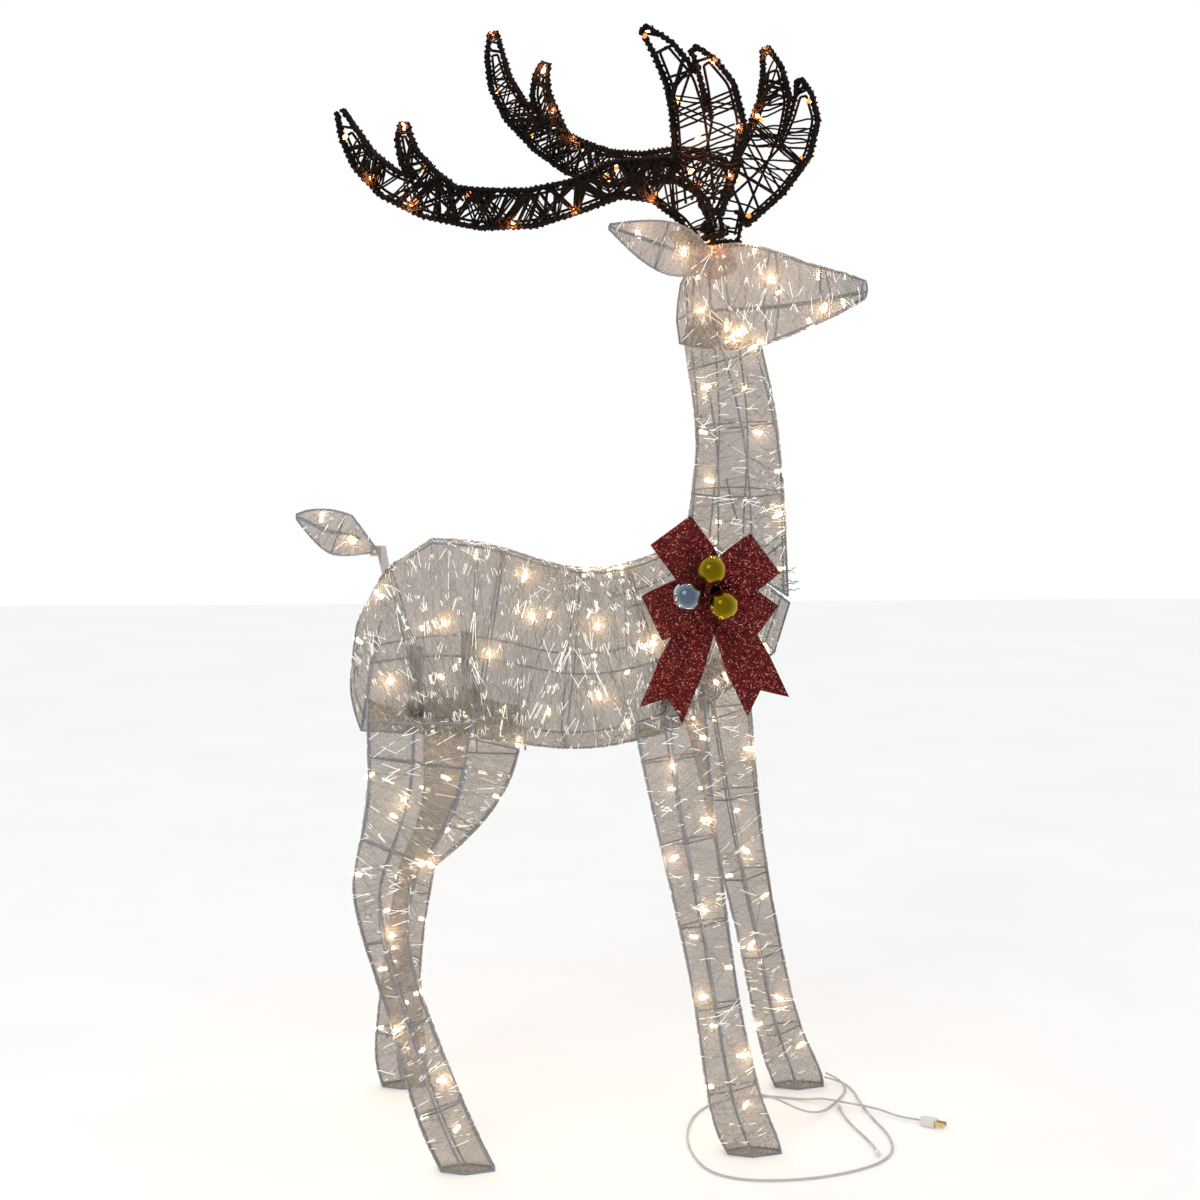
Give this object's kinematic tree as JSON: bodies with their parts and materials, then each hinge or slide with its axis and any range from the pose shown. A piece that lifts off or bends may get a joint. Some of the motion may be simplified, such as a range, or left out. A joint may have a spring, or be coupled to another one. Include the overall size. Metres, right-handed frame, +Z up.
{
  "type": "light up yard reindeer",
  "caption": "Standing wire-frame buck wound in clear spun thread, with dark rattan antlers, mini lamps, a red glitter bow and leads on the ground.",
  "frame": {"origin": "on the ground, under the middle of the deer's overall box (its leads left out)", "axes": "+X the way the deer's body faces, +Y its left side, +Z up"},
  "size_m": [0.8751, 0.5593, 1.5066],
  "materials": {
    "frame_wire": "satin slate-grey powder coat",
    "spun_thread": "clear and white spun thread with a gloss",
    "warm_lamp": "clear mini lamp, lit warm white",
    "amber_lamp": "mini lamp seen through the windings, lit warm white",
    "rattan": "dark brown rattan, matt",
    "zinc_steel": "zinc plated",
    "glitter_ribbon": "red ribbon covered in glitter",
    "gold_plating": "plated mirror gloss",
    "silver_plating": "plated mirror gloss",
    "cap_metal": "bright",
    "lead_cover": "clear-grey insulation",
    "plug_plastic": "moulded",
    "brass": "plain"
  },
  "bodies": {
    "deer_body": {"ball_caps": "cap_metal", "body_frame": "frame_wire", "body_light_string": "warm_lamp", "body_thread_skin": "spun_thread", "bow_centre_tie": "glitter_ribbon", "bow_left_streamer": "glitter_ribbon", "bow_lower_left_loop": "glitter_ribbon", "bow_lower_right_loop": "glitter_ribbon", "bow_right_streamer": "glitter_ribbon", "bow_upper_left_loop": "glitter_ribbon", "bow_upper_right_loop": "glitter_ribbon", "far_front_leg_frame": "frame_wire", "far_front_leg_light_string": "warm_lamp", "far_front_leg_socket": "frame_wire", "far_front_leg_thread_skin": "spun_thread", "far_hind_leg_frame": "frame_wire", "far_hind_leg_light_string": "warm_lamp", "far_hind_leg_socket": "frame_wire", "far_hind_leg_thread_skin": "spun_thread", "gold_lower_ball": "gold_plating", "gold_upper_ball": "gold_plating", "lead_clips": "plug_plastic", "leg_clips": "frame_wire", "leg_link_lead": "lead_cover", "near_front_leg_frame": "frame_wire", "near_front_leg_light_string": "warm_lamp", "near_front_leg_socket": "frame_wire", "near_front_leg_thread_skin": "spun_thread", "near_hind_leg_frame": "frame_wire", "near_hind_leg_light_string": "warm_lamp", "near_hind_leg_socket": "frame_wire", "near_hind_leg_thread_skin": "spun_thread", "neck_socket": "frame_wire", "silver_ball": "silver_plating", "single_strand": "lead_cover", "supply_lead": "lead_cover", "supply_plug": "plug_plastic", "supply_plug_blades": "brass", "tail_bracket": "frame_wire", "tail_hinge_pin": "zinc_steel"},
    "neck_and_head": {"antler_crossbar": "frame_wire", "far_ear_frame": "frame_wire", "far_ear_thread_skin": "spun_thread", "head_frame": "frame_wire", "head_light_string": "warm_lamp", "head_thread_skin": "spun_thread", "near_ear_frame": "frame_wire", "near_ear_thread_skin": "spun_thread", "neck_frame": "frame_wire", "neck_light_string": "warm_lamp", "neck_thread_skin": "spun_thread"},
    "near_antler": {"near_antler_frame": "frame_wire", "near_antler_light_string": "amber_lamp", "near_antler_rattan": "rattan"},
    "far_antler": {"far_antler_frame": "frame_wire", "far_antler_light_string": "amber_lamp", "far_antler_rattan": "rattan"},
    "tail": {"tail_frame": "frame_wire", "tail_light_string": "warm_lamp", "tail_thread_skin": "spun_thread"}
  },
  "joints": [
    {"name": "neck_lift", "type": "slide", "parent": "deer_body", "child": "neck_and_head", "axis": [0, 0, 1], "range_m": [0, 0.06]},
    {"name": "near_antler_turn", "type": "hinge", "parent": "neck_and_head", "child": "near_antler", "pos_m": [0.181, -0.061, 1.214], "axis": [0.3746, 0.9272, 0], "range_deg": [-10, 10]},
    {"name": "far_antler_turn", "type": "hinge", "parent": "neck_and_head", "child": "far_antler", "pos_m": [0.181, -0.061, 1.214], "axis": [0.3746, 0.9272, 0], "range_deg": [-10, 10]},
    {"name": "tail_tilt", "type": "hinge", "parent": "deer_body", "child": "tail", "pos_m": [-0.271, -0.061, 0.79], "axis": [0, 1, 0], "range_deg": [-15, 20]}
  ]
}
